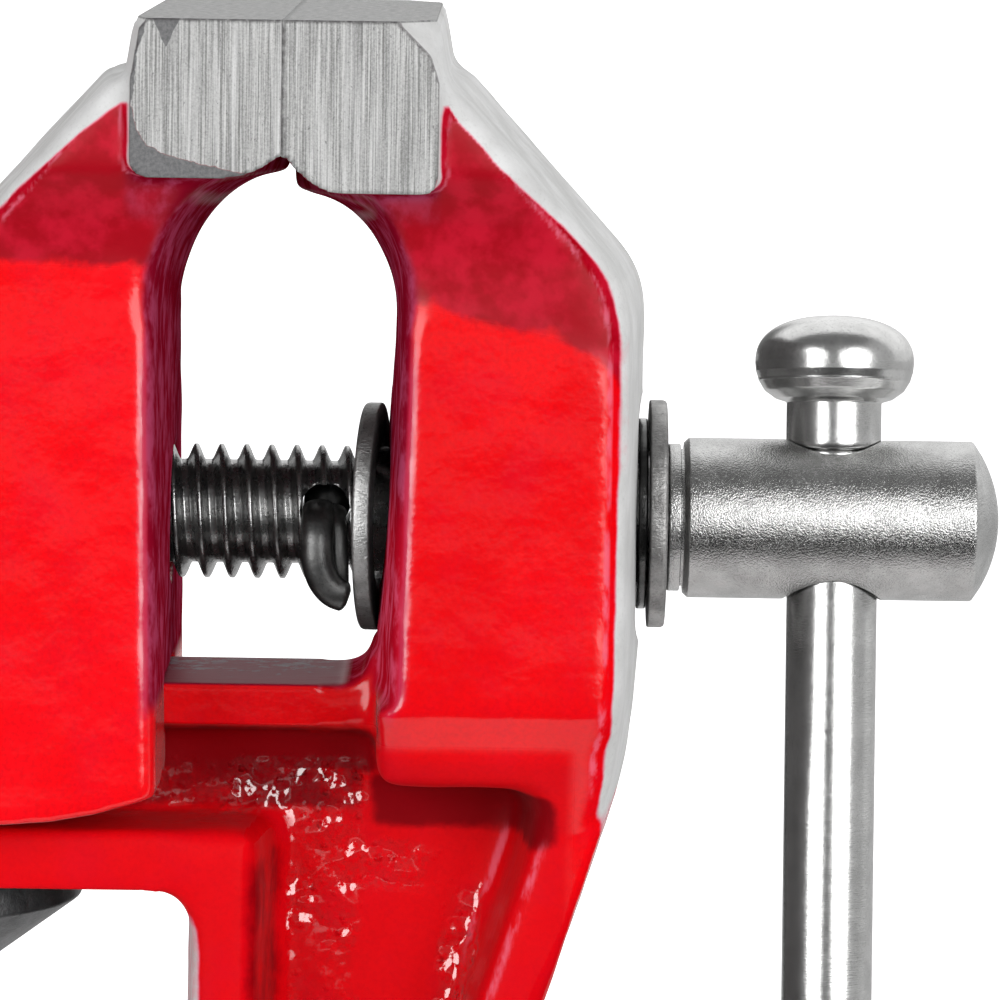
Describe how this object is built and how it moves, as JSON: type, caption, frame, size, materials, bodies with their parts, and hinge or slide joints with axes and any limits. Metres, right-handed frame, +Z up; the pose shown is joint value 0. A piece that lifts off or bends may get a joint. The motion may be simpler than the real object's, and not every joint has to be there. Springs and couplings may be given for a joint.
{
  "type": "mini bench vise",
  "caption": "Small table-clamp bench vise with smooth ground jaws, a sliding rear jaw on a beam, a lead screw with a T-handle and a C-frame clamp below",
  "frame": {"origin": "on the flat table seat under the upper arm, on the axis of the clamp screw and in the vise's middle plane", "axes": "+X along the lead screw towards its T-handle, +Y across the jaws, +Z up towards the jaw tips"},
  "size_m": [0.1044, 0.04, 0.1281],
  "materials": {
    "paint": "glossy red enamel on cast iron, jaw tips ground bare",
    "bright_steel": "bright nickel plate, lightly scratched",
    "blackened_steel": "blackened and oiled",
    "grey_steel": "bare grey steel"
  },
  "bodies": {
    "frame": {"fixed_body": "paint", "inner_washer": "blackened_steel"},
    "rear_jaw": {"moving_jaw": "paint", "lead_nut": "grey_steel"},
    "lead_screw": {"lead_screw": "blackened_steel", "screw_head": "bright_steel", "seal_washer": "blackened_steel", "thrust_washer": "grey_steel", "split_pin": "blackened_steel"},
    "lead_handle": {"lead_handle": "bright_steel", "lead_handle_upper_knob": "bright_steel", "lead_handle_lower_knob": "bright_steel"},
    "pad": {"swivel_pad": "blackened_steel", "pad_clip": "grey_steel"},
    "clamp_screw": {"clamp_screw": "blackened_steel", "clamp_screw_head": "bright_steel"},
    "clamp_handle": {"clamp_handle": "bright_steel", "clamp_handle_left_knob": "bright_steel", "clamp_handle_right_knob": "bright_steel"}
  },
  "joints": [
    {"name": "screw_spin", "type": "hinge", "parent": "frame", "child": "lead_screw", "pos_m": [0, 0, 0.021], "axis": [1, 0, 0], "range_deg": [0, 8401]},
    {"name": "jaw_slide", "type": "slide", "parent": "frame", "child": "rear_jaw", "axis": [-1, 0, 0], "range_m": [0, 0.035]},
    {"name": "lead_handle_slide", "type": "slide", "parent": "lead_screw", "child": "lead_handle", "axis": [0, 0.1392, 0.9903], "range_m": [-0.0021, 0.0533]},
    {"name": "clamp_travel", "type": "slide", "parent": "frame", "child": "pad", "axis": [0, 0, -1], "range_m": [0, 0.035]},
    {"name": "clamp_spin", "type": "hinge", "parent": "pad", "child": "clamp_screw", "pos_m": [0, 0, 0], "axis": [0, 0, -1], "range_deg": [0, 8401]},
    {"name": "clamp_handle_slide", "type": "slide", "parent": "clamp_screw", "child": "clamp_handle", "axis": [1, 0, 0], "range_m": [-0.0197, 0.0197]}
  ],
  "couplings": [
    {"joint": "screw_spin", "follows": "jaw_slide", "rad_per_m": 4188.8},
    {"joint": "clamp_spin", "follows": "clamp_travel", "rad_per_m": 4188.8}
  ]
}
